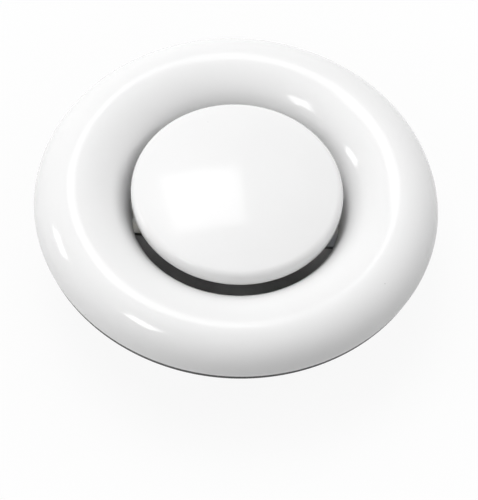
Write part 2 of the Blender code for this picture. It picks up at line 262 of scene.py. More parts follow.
# %% The ring
ring_stations = [(throat_radius, collar_end_z)]
ring_stations += arc((crest_radius, throat_z), THROAT_WIDTH, THROAT_DROP, 180, 90, THROAT_STEPS)
ring_stations += arc((crest_radius, flank_z), FLANK_WIDTH, RING_FRONT, 90, FLANK_END, FLANK_STEPS)[1:]
ring_stations += arc((rim_radius, rim_z), RIM_BEND, RIM_BEND, rim_turn, 0, 2)[1:]
ring_stations += arc((rim_radius, rim_z), RIM_BEND, RIM_BEND, 0, -90, BEND_STEPS)[1:]
ring_stations.append((ring_high.x - RIM_RETURN, rim_z - RIM_BEND))
ring_shell = spin("ring_shell", ring_stations, ROUND, closed=False)
thicken(ring_shell, SHEET, -1)
soften_edges(ring_shell, FINE_EDGE)
settle(ring_shell, "root", "white_enamel", "valve_ring")

# %% [markdown]
# ## The disc
#
# The disc is pressed from the same sheet: a shallow dome, a rounded edge and a short skirt that turns down
# into the throat. The dome matters, because a flat disc would mirror one even tone, and a domed one shows a
# small soft picture of the window. The height of the dome was worked out from the size of that patch in the
# photo. The profile runs from the skirt up to the axis, where its points merge to a pole.

# %% The disc's profile
DISC_ROUNDING = 0.003
DISC_SKIRT = 0.0022
DISC_DOME = 0.003
ROUNDING_STEPS = 14
DOME_STEPS = 24

disc_low, disc_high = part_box("valve_disc")
disc_radius = disc_high.x
rounding_radius = disc_radius - DISC_ROUNDING
rounding_z = disc_low.z + DISC_SKIRT
inner_sphere = (rounding_radius**2 + DISC_DOME**2) / (2 * DISC_DOME)
dome_sphere = inner_sphere + DISC_ROUNDING
dome_centre = (0, disc_high.z - dome_sphere)
dome_reach = math.degrees(math.asin(rounding_radius / inner_sphere))
disc_stations = [(disc_radius, disc_low.z)]
rounding_centre = (rounding_radius, rounding_z)
disc_stations += arc(rounding_centre, DISC_ROUNDING, DISC_ROUNDING, 0, 90 - dome_reach, ROUNDING_STEPS)
disc_stations += arc(dome_centre, dome_sphere, dome_sphere, 90 - dome_reach, 90, DOME_STEPS)[1:]
print("the dome is part of a sphere with a radius of", mm(dome_sphere))

# %% The disc
disc_shell = spin("disc_shell", disc_stations, ROUND, closed=False)
thicken(disc_shell, SHEET, -1)
soften_edges(disc_shell, FINE_EDGE)
settle(disc_shell, "disc", "white_enamel", "valve_disc")

# %% [markdown]
# ## The foam gasket
#
# A flat ring of closed-cell foam is glued behind the turned-in rim and seals against the wall. It is
# punched from sheet foam, so its faces are flat, and its cut edges are a little rounded.

# %% The gasket
GASKET_WIDTH = 0.0071
FOAM_EDGE = 0.00025

gasket_low, gasket_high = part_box("ring_gasket")
gasket_inside = gasket_high.x - GASKET_WIDTH
gasket_stations = [
    (gasket_inside, gasket_low.z),
    (gasket_inside, gasket_high.z),
    (gasket_high.x, gasket_high.z),
    (gasket_high.x, gasket_low.z),
]
gasket_ring = spin("gasket_ring", gasket_stations, ROUND, closed=True)
soften_edges(gasket_ring, FOAM_EDGE, segments=3)
settle(gasket_ring, "root", "grey_foam", "ring_gasket")

# %% [markdown]
# ## The neck
#
# The neck is drawn from galvanised sheet. Its collar is pressed over the throat's collar, its flange
# carries the cross bar, and its sleeve goes into the duct, with the rear edge turned in so that it cuts
# nobody. The holes for the rivets are drilled with one Boolean, by seven drills that are joined to one
# object first.

# %% The neck's profile
NECK_BEND = 0.0016
COLLAR_BEND = 0.0008
NECK_LIP = 0.002
COLLAR_GAP = 0.0003
COLLAR_STEPS = 5

neck_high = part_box("neck_sleeve")[1]
neck_radius = neck_high.x
collar_outside = throat_radius + 2 * SHEET + COLLAR_GAP
flange_z = collar_end_z + SHEET
neck_stations = [(collar_outside, neck_high.z)]
collar_centre = (collar_outside + COLLAR_BEND, flange_z + COLLAR_BEND)
bend_radius = neck_radius - NECK_BEND
neck_stations += arc(collar_centre, COLLAR_BEND, COLLAR_BEND, 180, 270, COLLAR_STEPS)
neck_stations += arc((bend_radius, flange_z - NECK_BEND), NECK_BEND, NECK_BEND, 90, 0, BEND_STEPS)
neck_stations += arc((bend_radius, NECK_BEND), NECK_BEND, NECK_BEND, 0, -90, BEND_STEPS)
neck_stations.append((neck_radius - SHEET - NECK_LIP, 0))
neck_shell = spin("neck_shell", neck_stations, ROUND, closed=False)
thicken(neck_shell, SHEET, -1)
soften_edges(neck_shell, FINE_EDGE)
measure(neck_shell)

# %% Drill the neck
RIVET_HOLE = 0.0017
DRILL_LENGTH = 0.008


def middle(node):
    """The middle of a node's box."""
    low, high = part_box(node)
    return (low + high) / 2


def add_drill(centre, radius, direction):
    """A round drill through the centre, along the direction."""
    bpy.ops.object.select_all(action="DESELECT")
    bpy.ops.mesh.primitive_cylinder_add(
        vertices=TINY_ROUND, radius=radius, depth=DRILL_LENGTH, location=centre
    )
    drill = bpy.context.active_object
    drill.rotation_mode = "QUATERNION"
    drill.rotation_quaternion = Vector(direction).to_track_quat("Z", "Y")
    return drill


def drill_through(made, drills):
    """Joins the drills, cuts them out of the piece with one Boolean and removes them."""
    cutter = drills[0]
    if len(drills) > 1:
        activate(cutter)
        for drill in drills:
            drill.select_set(True)
        bpy.ops.object.join()
    apply_modifier(made, "BOOLEAN", object=cutter, operation="DIFFERENCE", solver="EXACT")
    bpy.data.objects.remove(cutter)


def rivet_drills():
    """Four drills for the rivets that hold the cross bar."""
    return [add_drill(middle(f"bar_rivet_{n}"), RIVET_HOLE, (0, 0, 1)) for n in range(1, 5)]


spring_places = [middle(f"spring_rivet_{n}") for n in range(1, 4)]
spring_drills = [add_drill(place, RIVET_HOLE, (place.x, place.y, 0)) for place in spring_places]
drill_through(neck_shell, rivet_drills() + spring_drills)
settle(neck_shell, "root", "galvanised_sheet", "neck_sleeve")

# %% [markdown]
# ## The cross bar
#
# A strip of zinc-plated steel crosses the neck behind its flange. Its middle is raised, which makes room
# for the lock nut behind it. A plane is cut across at the bends, the middle is lifted, and the bends are
# rounded with Bevel on their edges. The corners are rounded with Bevel on their points, before the strip
# gets its thickness.

# %% Select and cut
CORNER_SEGMENTS = 8


def clear_points(made):
    """Makes a piece active, with none of its points selected."""
    activate(made)
    bpy.ops.object.mode_set(mode="EDIT")
    bpy.ops.mesh.select_all(action="DESELECT")
    bpy.ops.object.mode_set(mode="OBJECT")


def pick_points(made, wanted):
    """Selects the points that a test picks by their place, and opens edit mode in point mode."""
    clear_points(made)
    for vertex in made.data.vertices:
        vertex.select = wanted(vertex.co)
    bpy.ops.object.mode_set(mode="EDIT")
    bpy.ops.mesh.select_mode(type="VERT")


def pick_edges(made, wanted):
    """Selects the edges whose two ends pass a test, and opens edit mode in edge mode."""
    clear_points(made)
    for edge in made.data.edges:
        ends = [made.data.vertices[i].co for i in edge.vertices]
        edge.select = wanted(*ends)
    bpy.ops.object.mode_set(mode="EDIT")
    bpy.ops.mesh.select_mode(type="EDGE")


def pick_all(made):
    """Selects a whole piece, and opens edit mode."""
    activate(made)
    bpy.ops.object.mode_set(mode="EDIT")
    bpy.ops.mesh.select_all(action="SELECT")


def round_corners(made, width):
    """Rounds the selected points in the plane of a sheet."""
    bpy.ops.mesh.bevel(offset=width, segments=CORNER_SEGMENTS, affect="VERTICES")
    bpy.ops.object.mode_set(mode="OBJECT")
    print(made.name, "has", len(made.data.vertices), "points")


# %% The cross bar
BAR_SHEET = 0.0015
BAR_CORNER = 0.003
BAR_MIDDLE = 0.011
BAR_RAMP = 0.006
BAR_BEND = 0.0018
BAR_EDGE = 0.00018
BAR_SEGMENTS = 5
PILOT_HOLE = 0.00475

bar_low, bar_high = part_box("cross_bar")
bar_length = bar_high.x - bar_low.x
bar_width = bar_high.y - bar_low.y
bar_end_z = bar_low.z + BAR_SHEET / 2
bar_lift = bar_high.z - bar_low.z - BAR_SHEET

bpy.ops.object.select_all(action="DESELECT")
bpy.ops.mesh.primitive_plane_add(size=1, location=(0, 0, bar_end_z))
bar_strip = bpy.context.active_object
bar_strip.name = "bar_strip"
bar_strip.scale = (bar_length, bar_width, 1)
bpy.ops.object.transform_apply(location=True, rotation=True, scale=True)
bends = [side * x for side in (-1, 1) for x in (BAR_MIDDLE, BAR_MIDDLE + BAR_RAMP)]
for x in bends:
    pick_all(bar_strip)
    bpy.ops.mesh.bisect(plane_co=(x, 0, 0), plane_no=(1, 0, 0))
    bpy.ops.object.mode_set(mode="OBJECT")
pick_points(bar_strip, lambda co: abs(co.x) < BAR_MIDDLE + MERGE)
bpy.ops.transform.translate(value=(0, 0, bar_lift))
bpy.ops.object.mode_set(mode="OBJECT")
pick_edges(bar_strip, lambda a, b: abs(a.x - b.x) < MERGE and abs(a.x) < bar_length / 2 - MERGE)
bpy.ops.mesh.bevel(offset=BAR_BEND / 2, segments=BAR_SEGMENTS, affect="EDGES")
bpy.ops.object.mode_set(mode="OBJECT")
pick_points(bar_strip, lambda co: abs(co.x) > bar_length / 2 - MERGE)
round_corners(bar_strip, BAR_CORNER)
thicken(bar_strip, BAR_SHEET, 0)
soften_edges(bar_strip, BAR_EDGE, segments=3)
pilot_drill = add_drill((0, 0, bar_high.z), PILOT_HOLE, (0, 0, 1))
drill_through(bar_strip, rivet_drills() + [pilot_drill])
settle(bar_strip, "root", "zinc_plated_steel", "cross_bar")

# %% [markdown]
# ## The rivets
#
# The bar and the clamp springs are held by blind rivets. Such a rivet has a low domed head with the hole
# that its pulling pin leaves, and on the far side a smaller end that the pin has spread. One rivet is spun
# for each grip length, and then copied, each copy with a mesh of its own.

# %% The rivets
RIVET_SHANK = 0.0016
RIVET_HEAD = 0.0026
RIVET_DOME = 0.0012
FORMED_HEAD = 0.0022
PIN_RADIUS = 0.0007
PIN_DEPTH = 0.0004
PIN_CHAMFER = 0.00005
PIN_TAPER = 0.9
RIVET_EDGE = 0.00008
HEAD_STEPS = 8
FORMED_STEPS = 6


def dome(radius, height, steps):
    """Stations over a round head, from its edge on height 0 up to its middle."""
    sphere = (radius**2 + height**2) / (2 * height)
    reach = math.degrees(math.asin(radius / sphere))
    return arc((0, height - sphere), sphere, sphere, 90 - reach, 90, steps)


def spin_rivet(name, grip):
    """A blind rivet along Z: its head stands on height 0 and its spread end lies one grip below."""
    head = [s for s in dome(RIVET_HEAD, RIVET_DOME, HEAD_STEPS) if s[0] > PIN_RADIUS]
    pin_top = RIVET_DOME - PIN_CHAMFER
    pin_floor = RIVET_DOME - PIN_DEPTH
    hole = [(0, pin_floor), (PIN_RADIUS * PIN_TAPER, pin_floor), (PIN_RADIUS, pin_top)]
    formed = [(r, -grip - z) for r, z in dome(FORMED_HEAD, RIVET_DOME, FORMED_STEPS)]
    stations = hole + head[::-1] + [(RIVET_SHANK, 0), (RIVET_SHANK, -grip)] + formed
    made = spin(name, stations, TINY_ROUND, closed=False)
    soften_edges(made, RIVET_EDGE)
    return made


def place_copy(pattern, name, matrix):
    """A copy of a piece with its own mesh, placed, and with its place applied to the mesh."""
    made = pattern.copy()
    made.data = pattern.data.copy()
    made.name = name
    bpy.context.scene.collection.objects.link(made)
    made.matrix_world = matrix
    activate(made)
    bpy.ops.object.transform_apply(location=True, rotation=True, scale=True)
    return made


bar_rivet_low, bar_rivet_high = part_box("bar_rivet_1")
bar_grip = bar_rivet_high.z - bar_rivet_low.z - 2 * RIVET_DOME
pattern = spin_rivet("rivet_pattern", bar_grip)
upside_down = Matrix.Rotation(math.pi, 4, "X")
for number in range(1, 5):
    place = middle(f"bar_rivet_{number}")
    place.z = bar_rivet_low.z + RIVET_DOME
    made = place_copy(pattern, f"bar_fixing_{number}", Matrix.Translation(place) @ upside_down)
    settle(made, "root", "rivet_aluminium", f"bar_rivet_{number}")
bpy.data.objects.remove(pattern)

# %% The springs' rivets
spring_rivet_low, spring_rivet_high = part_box("spring_rivet_1")
spring_grip = spring_rivet_high.y - spring_rivet_low.y - 2 * RIVET_DOME
spring_rivet_z = middle("spring_rivet_1").z
head_radius = spring_rivet_high.y - RIVET_DOME
spring_turns = [math.atan2(place.y, place.x) for place in spring_places]
pattern = spin_rivet("rivet_pattern", spring_grip)
for number, turn in enumerate(spring_turns, 1):
    outwards = Matrix.Rotation(turn, 4, "Z") @ Matrix.Translation((head_radius, 0, spring_rivet_z))
    laid = outwards @ Matrix.Rotation(math.pi / 2, 4, "Y")
    made = place_copy(pattern, f"spring_fixing_{number}", laid)
    settle(made, "root", "rivet_aluminium", f"spring_rivet_{number}")
bpy.data.objects.remove(pattern)

# %% [markdown]
# ## The clamp springs
#
# Three bent strips of spring steel grip the duct. Each has a flat tab under its rivet, bows outwards, and
# its tail comes part of the way back. The strip is an edge pulled along its middle line. The real strip
# flexes, but here each copy is one fixed mesh.

# %% The clamp springs
SPRING_SHEET = 0.0005
SPRING_WIDTH = 0.012
SPRING_CORNER = 0.002
SPRING_TAB = 0.0032
SPRING_FLAT = 0.002
SPRING_BOW = 0.0039
SPRING_RISE = 0.0062
SPRING_TAIL = 0.0045
SPRING_TUCK = 0.0017
SPRING_EDGE = 0.0001
RISE_STEPS = 20
TAIL_STEPS = 12

spring_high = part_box("clamp_spring_1")[1]
spring_radius = spring_high.y - SPRING_BOW - SPRING_SHEET / 2


def strip_line():
    """The strip's middle line from tab to tail, as how far out and how high from the rivet."""
    line = [(0, SPRING_TAB), (0, 0), (0, -SPRING_FLAT)]
    for i in range(1, RISE_STEPS + 1):
        share = i / RISE_STEPS
        line.append((SPRING_BOW * (1 - math.cos(math.pi * share)) / 2, -SPRING_FLAT - SPRING_RISE * share))
    for i in range(1, TAIL_STEPS + 1):
        share = i / TAIL_STEPS
        tuck = SPRING_TUCK * (1 - math.cos(math.pi / 2 * share))
        line.append((SPRING_BOW - tuck, -SPRING_FLAT - SPRING_RISE - SPRING_TAIL * share))
    return line


line = [(out, 0, up) for out, up in strip_line()]
spring_pattern = draw_chain("spring_pattern", line)
bpy.ops.mesh.select_all(action="SELECT")
bpy.ops.transform.translate(value=(0, -SPRING_WIDTH / 2, 0))
bpy.ops.mesh.extrude_region_move(TRANSFORM_OT_translate={"value": (0, SPRING_WIDTH, 0)})
bpy.ops.object.mode_set(mode="OBJECT")
pick_points(spring_pattern, lambda co: co.z > SPRING_TAB - MERGE)
round_corners(spring_pattern, SPRING_CORNER)
thicken(spring_pattern, SPRING_SHEET, 0)
soften_edges(spring_pattern, SPRING_EDGE)
drill_through(spring_pattern, [add_drill((0, 0, 0), RIVET_HOLE, (1, 0, 0))])

# %% Place the springs
for number, turn in enumerate(spring_turns, 1):
    at_rivet = Matrix.Rotation(turn, 4, "Z") @ Matrix.Translation((spring_radius, 0, spring_rivet_z))
    made = place_copy(spring_pattern, f"spring_strip_{number}", at_rivet)
    shade(made)
    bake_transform(made)
    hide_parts(f"clamp_spring_{number}")
    measure(made)
bpy.data.objects.remove(spring_pattern)

# %% [markdown]
# ## The spindle
#
# The disc rides on a threaded rod. One tooth of the thread, as high as one turn, is drawn as a line and run
# up the rod by a Screw modifier, so that each turn meets the next. The turns are then welded, cut at both
# ends and capped. That matters, because the free end is pointed with a Boolean: on a body that isn't closed
# it gives one result in one run and another in the next.

# %% The spindle
PITCH = 0.001
THREAD_DEPTH = 0.0006
THREAD_CREST = 0.12
THREAD_ROOT = 0.25
SPARE_TURNS = 2
POINT = 0.0007

rod_low, rod_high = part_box("spindle")
rod_radius = rod_high.x
root_radius = rod_radius - THREAD_DEPTH
rod_length = rod_high.z - rod_low.z
flank_share = (1 - THREAD_CREST - THREAD_ROOT) / 2
tooth = [
    (root_radius, 0, 0),
    (root_radius, 0, THREAD_ROOT * PITCH),
    (rod_radius, 0, (THREAD_ROOT + flank_share) * PITCH),
    (rod_radius, 0, (THREAD_ROOT + flank_share + THREAD_CREST) * PITCH),
    (root_radius, 0, PITCH),
]
turns = math.ceil(rod_length / PITCH) + 2 * SPARE_TURNS
threaded_rod = draw_chain("threaded_rod", tooth)
bpy.ops.object.mode_set(mode="OBJECT")
apply_modifier(
    threaded_rod, "SCREW", steps=SMALL_ROUND, render_steps=SMALL_ROUND, screw_offset=PITCH, iterations=turns,
    use_normal_flip=True
)
pick_all(threaded_rod)
bpy.ops.mesh.remove_doubles(threshold=MERGE)
bpy.ops.object.mode_set(mode="OBJECT")
threaded_rod.location = (0, 0, rod_low.z - SPARE_TURNS * PITCH)
bpy.ops.object.transform_apply(location=True, rotation=True, scale=True)

# %% Cut and cap the spindle
for height, outer, inner in ((rod_low.z, False, True), (rod_high.z, True, False)):
    pick_all(threaded_rod)
    bpy.ops.mesh.bisect(plane_co=(0, 0, height), plane_no=(0, 0, 1), clear_outer=outer, clear_inner=inner)
    bpy.ops.object.mode_set(mode="OBJECT")
pick_all(threaded_rod)
bpy.ops.mesh.fill_holes(sides=0)
bpy.ops.object.mode_set(mode="OBJECT")
measure(threaded_rod)

# %% Point the spindle
MARGIN = 0.0002
bar_stations = [
    (0, rod_low.z - MARGIN),
    (rod_radius - POINT - MARGIN, rod_low.z - MARGIN),
    (rod_radius + MARGIN, rod_low.z + POINT + MARGIN),
    (rod_radius + MARGIN, rod_high.z + MARGIN),
    (0, rod_high.z + MARGIN),
]
pointed = spin("pointed_bar", bar_stations, SMALL_ROUND, closed=False)
apply_modifier(threaded_rod, "BOOLEAN", object=pointed, operation="INTERSECT", solver="EXACT")
bpy.data.objects.remove(pointed)
settle(threaded_rod, "disc", "zinc_plated_steel", "spindle")

# %% [markdown]
# ## Nuts, washer and boss
#
# A hexagon nut is a six-sided prism whose ends were turned, which leaves curved edges on its flats. So the
# prism is kept only where it lies inside a turned barrel. The spindle nut also has a pilot that sits in the
# bar's hole. The washer and the disc's boss are plain turned pieces.

# %% The nuts
NUT_ACROSS = 0.010
NUT_CHAMFER = 30
NUT_BORE = 0.0031
COUNTERSINK = 0.0005
PILOT = 0.00445
BARREL_MARGIN = 0.00002
NUT_EDGE = 0.00006

nut_corner = NUT_ACROSS / math.sqrt(3)
nut_cut = nut_corner - NUT_ACROSS / 2
nut_drop = nut_cut * math.tan(math.radians(NUT_CHAMFER))


def combine(made, other, operation):
    """Keeps the join or the common part of two pieces, and removes the second."""
    apply_modifier(made, "BOOLEAN", object=other, operation=operation, solver="EXACT")
    bpy.data.objects.remove(other)


def model_nut(name, low, high, pilot_low=None):
    """A hexagon nut between two heights, with a countersunk bore."""
    height = high - low
    bpy.ops.object.select_all(action="DESELECT")
    bpy.ops.mesh.primitive_cylinder_add(
        vertices=6, radius=nut_corner, depth=height, location=(0, 0, low + height / 2)
    )
    made = bpy.context.active_object
    made.name = name
    made.rotation_euler.z = math.pi / 2
    bpy.ops.object.transform_apply(location=True, rotation=True, scale=True)
    barrel = [
        (0, low - BARREL_MARGIN),
        (nut_corner - nut_cut, low - BARREL_MARGIN),
        (nut_corner + BARREL_MARGIN, low + nut_drop),
        (nut_corner + BARREL_MARGIN, high - nut_drop),
        (nut_corner - nut_cut, high + BARREL_MARGIN),
        (0, high + BARREL_MARGIN),
    ]
    combine(made, spin("barrel", barrel, SMALL_ROUND, closed=False), "INTERSECT")
    if pilot_low is not None:
        inside = low + height / 2
        tube = [(0, pilot_low), (PILOT, pilot_low), (PILOT, inside), (0, inside)]
        combine(made, spin("pilot", tube, SMALL_ROUND, closed=False), "UNION")
        low = pilot_low
    bore = [
        (0, low - MARGIN),
        (NUT_BORE + COUNTERSINK + MARGIN, low - MARGIN),
        (NUT_BORE, low + COUNTERSINK),
        (NUT_BORE, high - COUNTERSINK),
        (NUT_BORE + COUNTERSINK + MARGIN, high + MARGIN),
        (0, high + MARGIN),
    ]
    combine(made, spin("bore", bore, SMALL_ROUND, closed=False), "DIFFERENCE")
    soften_edges(made, NUT_EDGE)
    return made


SPINDLE_NUT_HEIGHT = 0.0045
nut_low, nut_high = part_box("spindle_nut")
weld_nut = model_nut("weld_nut", nut_high.z - SPINDLE_NUT_HEIGHT, nut_high.z, nut_low.z)
settle(weld_nut, "root", "zinc_plated_steel", "spindle_nut")
nut_low, nut_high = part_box("lock_nut")
rear_nut = model_nut("rear_nut", nut_low.z, nut_high.z)
settle(rear_nut, "nut", "zinc_plated_steel", "lock_nut")

# %% The washer
washer_low, washer_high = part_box("lock_washer")
washer_stations = [
    (NUT_BORE, washer_low.z),
    (NUT_BORE, washer_high.z),
    (washer_high.x, washer_high.z),
    (washer_high.x, washer_low.z),
]
rear_washer = spin("rear_washer", washer_stations, SMALL_ROUND, closed=True)
soften_edges(rear_washer, FINE_EDGE, segments=3)
settle(rear_washer, "washer", "zinc_plated_steel", "lock_washer")

# %% The boss
BOSS_FLANGE = 0.0014
HUB_RADIUS = 0.005
HUB_FILLET = 0.001

boss_low, boss_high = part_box("disc_boss")
flange_low = boss_high.z - BOSS_FLANGE
boss_stations = [(NUT_BORE, boss_low.z), (NUT_BORE, boss_high.z), (boss_high.x, boss_high.z)]
boss_stations.append((boss_high.x, flange_low))
fillet_centre = (HUB_RADIUS + HUB_FILLET, flange_low - HUB_FILLET)
boss_stations += arc(fillet_centre, HUB_FILLET, HUB_FILLET, 90, 180, BEND_STEPS)
boss_stations.append((HUB_RADIUS, boss_low.z))
turned_boss = spin("turned_boss", boss_stations, SMALL_ROUND, closed=True)
soften_edges(turned_boss, FINE_EDGE)
settle(turned_boss, "boss", "zinc_plated_steel", "disc_boss")

# %% [markdown]
# ## Materials as expressions
#
# A finish is arithmetic on patterns: a speck mask times a dark tone, a noise times a bump height. Wiring
# Math nodes by hand hides that, so a small class wraps a node's output and lets Python's operators add the
# nodes. Any other node comes from one method, which takes the node's type, its settings and its inputs. The
# same method serves the materials, the floor and the world.


# %% Shader maths
class Value:
    """One output of a node, on which Python's operators add Math nodes."""

    def __init__(self, graph, socket):
        self.graph = graph
        self.socket = socket

    def __add__(self, other):
        return self.graph.math("ADD", self, other)

    def __radd__(self, other):
        return self.graph.math("ADD", other, self)

    def __sub__(self, other):
        return self.graph.math("SUBTRACT", self, other)

    def __rsub__(self, other):
        return self.graph.math("SUBTRACT", other, self)

    def __mul__(self, other):
        return self.graph.math("MULTIPLY", self, other)

    def __rmul__(self, other):
        return self.graph.math("MULTIPLY", other, self)

    def __lt__(self, other):
        return self.graph.math("LESS_THAN", self, other)

    def __gt__(self, other):
        return self.graph.math("GREATER_THAN", self, other)


class Graph:
    """The nodes of a material or of the world."""

    def __init__(self, tree):
        self.tree = tree

    def node(self, kind, settings, inputs, output=0):
        """Adds a node: its settings first, then its inputs, each a number or a link."""
        made = self.tree.nodes.new(kind)
        for key, value in settings.items():
            setattr(made, key, value)
        for key, value in inputs.items():
            self.feed(made.inputs[key], value)
        return Value(self, made.outputs[output])

    def feed(self, socket, value):
        """Gives a socket its link or its constant."""
        if isinstance(value, Value):
            self.tree.links.new(value.socket, socket)
        else:
            socket.default_value = value

    def math(self, operation, first, second):
        return self.node("ShaderNodeMath", {"operation": operation}, {0: first, 1: second})

    def seen(self):
        """1 for a ray from the camera, off a mirror or through glass, and 0 for a ray that lights."""
        kinds = ("Is Camera Ray", "Is Glossy Ray", "Is Transmission Ray")
        camera_ray, mirrored, through = [self.node("ShaderNodeLightPath", {}, {}, kind) for kind in kinds]
        return self.math("MAXIMUM", self.math("MAXIMUM", camera_ray, mirrored), through)


# %% Finishes
NOISE_LOW = 0.3
NOISE_HIGH = 0.7


class Finish(Graph):
    """A material with one Principled shader, and the nodes that vary it."""

    def __init__(self, name, colour, roughness, metallic):
        self.material = bpy.data.materials.new(name)
        self.material.use_nodes = True
        super().__init__(self.material.node_tree)
        self.shader = self.tree.nodes["Principled BSDF"]
        self.set("Base Color", colour)
        self.set("Roughness", roughness)
        self.set("Metallic", metallic)
        self.place = self.node("ShaderNodeTexCoord", {}, {}, "Object")

    def set(self, socket, value):
        self.feed(self.shader.inputs[socket], value)

    def noise(self, scale, detail=2.0, roughness=0.5, place=None):
        inputs = {"Vector": place or self.place, "Scale": scale, "Detail": detail, "Roughness": roughness}
        return self.node("ShaderNodeTexNoise", {}, inputs, "Fac")

    def cells(self, scale, output="Distance", **settings):
        return self.node("ShaderNodeTexVoronoi", settings, {"Vector": self.place, "Scale": scale}, output)

    def stretched(self, scale):
        """The object's coordinates, scaled apart along the three axes."""
        return self.node("ShaderNodeMapping", {}, {"Vector": self.place, "Scale": scale}, "Vector")

    def spread(self, value, low, high, new_low=0.0, new_high=1.0):
        """Carries a range of values to another range, without going past its ends."""
        inputs = {"Value": value, "From Min": low, "From Max": high, "To Min": new_low, "To Max": new_high}
        return self.node("ShaderNodeMapRange", {}, inputs)

    def vary(self, noise, low, high):
        """Carries the range in which a noise mostly lies to another range."""
        return self.spread(noise, NOISE_LOW, NOISE_HIGH, low, high)

    def blend(self, share, first, second):
        """A colour between two colours."""
        return self.node("ShaderNodeMix", {"data_type": "RGBA"}, {"Factor": share, 6: first, 7: second}, 2)

    def bump(self, height, distance, strength=1.0):
        """A normal for a surface that a pattern raises by up to this distance."""
        inputs = {"Height": height, "Distance": distance, "Strength": strength}
        return self.node("ShaderNodeBump", {}, inputs, "Normal")


def grey(level, tint=0.0):
    """A grey, slightly blue if the tint is above zero."""
    return (level * (1 - tint), level, level * (1 + tint), 1)


def dress(finish, *made):
    """Puts the material on the pieces."""
    for piece in made:
        piece.data.materials.clear()
        piece.data.materials.append(finish.material)
    print(finish.material.name, "is on", len(made), "pieces, and has", len(finish.tree.nodes), "nodes")


def pieces_named(start):
    """The pieces whose names start with this word."""
    return [o for o in bpy.data.objects if o.name.startswith(start) and o.type == "MESH"]


# %% [markdown]
# ## White enamel
#
# The ring and the disc have a glossy white powder coat. Baked powder is never quite level: it has a shallow
# orange peel, which softens what it mirrors, and here and there a speck of dust is caught in it. A Voronoi
# pattern gives the specks: only the very middles of its cells count, and few of those lie in the surface.

# %% White enamel
WHITE = 0.86
CLOUD_SCALE = 35
CLOUD_TONE = 0.985
SPECK_SCALE = 120
SPECK_SIZE = 0.018
SPECK_TONE = 0.45
GLOSS_SCALE = 60
PEEL_SCALE = 320
PEEL_HEIGHT = 0.00001

enamel = Finish("powder_coat", grey(WHITE), 0.10, 0.0)
cloud = enamel.vary(enamel.noise(CLOUD_SCALE, detail=3), 0.0, 1.0)
coat = enamel.blend(cloud, grey(WHITE * CLOUD_TONE), grey(WHITE))
speck = enamel.cells(SPECK_SCALE) < SPECK_SIZE
enamel.set("Base Color", enamel.blend(speck, coat, grey(SPECK_TONE)))
enamel.set("Roughness", enamel.vary(enamel.noise(GLOSS_SCALE), 0.09, 0.12))
enamel.set("Normal", enamel.bump(enamel.noise(PEEL_SCALE), PEEL_HEIGHT))
dress(enamel, ring_shell, disc_shell)

# %% [markdown]
# ## Galvanised sheet
#
# Hot zinc freezes on the sheet in crystals a few millimetres wide, the spangle. Each Voronoi cell is one
# crystal with its own tone and its own gloss. A fine noise over it stands for the dulled skin of the zinc.

# %% Galvanised sheet
SPANGLE_SCALE = 260
FROST_SCALE = 900
FROST_HEIGHT = 0.00003

galvanised = Finish("hot_dip_zinc", (0.50, 0.51, 0.52, 1), 0.4, 1.0)
spangle = galvanised.cells(SPANGLE_SCALE, "Color")
crystal = galvanised.node("ShaderNodeSeparateColor", {}, {"Color": spangle}, "Red")
frost = galvanised.noise(FROST_SCALE, detail=4)
tone = galvanised.spread(crystal * 0.5 + frost * 0.6, 0.2, 0.9)
galvanised.set("Base Color", galvanised.blend(tone, grey(0.43, 0.02), grey(0.60, 0.02)))
galvanised.set("Roughness", galvanised.spread(crystal, 0.0, 1.0, 0.34, 0.46))
galvanised.set("Normal", galvanised.bump(frost, FROST_HEIGHT, strength=0.5))
dress(galvanised, neck_shell)

# %% [markdown]
# ## Zinc-plated steel
#
# Zinc plating with a clear passivation has a cool, slightly uneven tint, from bluish to straw, and shows
# the fine scratches of barrel plating.

# %% Zinc-plated steel
BLUISH = (0.34, 0.355, 0.38, 1)
STRAW = (0.38, 0.37, 0.34, 1)
PATCH_SCALE = 140
SCRATCH_SCALE = 1500
SCRATCH_DEPTH = 0.00001

plated = Finish("bright_zinc_plating", (0.37, 0.38, 0.40, 1), 0.3, 1.0)
patch = plated.spread(plated.noise(PATCH_SCALE, detail=3), 0.35, 0.65)
plated.set("Base Color", plated.blend(patch, BLUISH, STRAW))
scratches = plated.noise(SCRATCH_SCALE, detail=4, roughness=0.7)
plated.set("Roughness", plated.vary(scratches, 0.32, 0.46))
plated.set("Normal", plated.bump(scratches, SCRATCH_DEPTH, strength=0.6))
dress(plated, bar_strip, threaded_rod, weld_nut, rear_nut, rear_washer, turned_boss)

# %% [markdown]
# ## Spring steel
#
# The springs are cut from rolled strip. Rolling draws out every mark on it along the strip, so the noise is
# stretched along the valve's axis, which is the way the strips run.

# %% Spring steel
ROLLING_SCALE = 2400
ROLLING_STRETCH = (1, 1, 0.03)
ROLLING_DEPTH = 0.00001

strip_steel = Finish("rolled_strip", (0.42, 0.42, 0.43, 1), 0.3, 1.0)
drawn = strip_steel.noise(ROLLING_SCALE, detail=3, place=strip_steel.stretched(ROLLING_STRETCH))
strip_steel.set("Base Color", strip_steel.blend(drawn, grey(0.36), grey(0.50, 0.02)))
strip_steel.set("Roughness", strip_steel.vary(drawn, 0.24, 0.36))
strip_steel.set("Normal", strip_steel.bump(drawn, ROLLING_DEPTH, strength=0.6))
dress(strip_steel, *pieces_named("spring_strip"))

# %% [markdown]
# ## Rivet aluminium
#
# Blind rivets are of bare aluminium. It is pale and satin, with the small knocks of the tin they came in.

# %% Rivet aluminium
KNOCK_SCALE = 1100
KNOCK_DEPTH = 0.00002

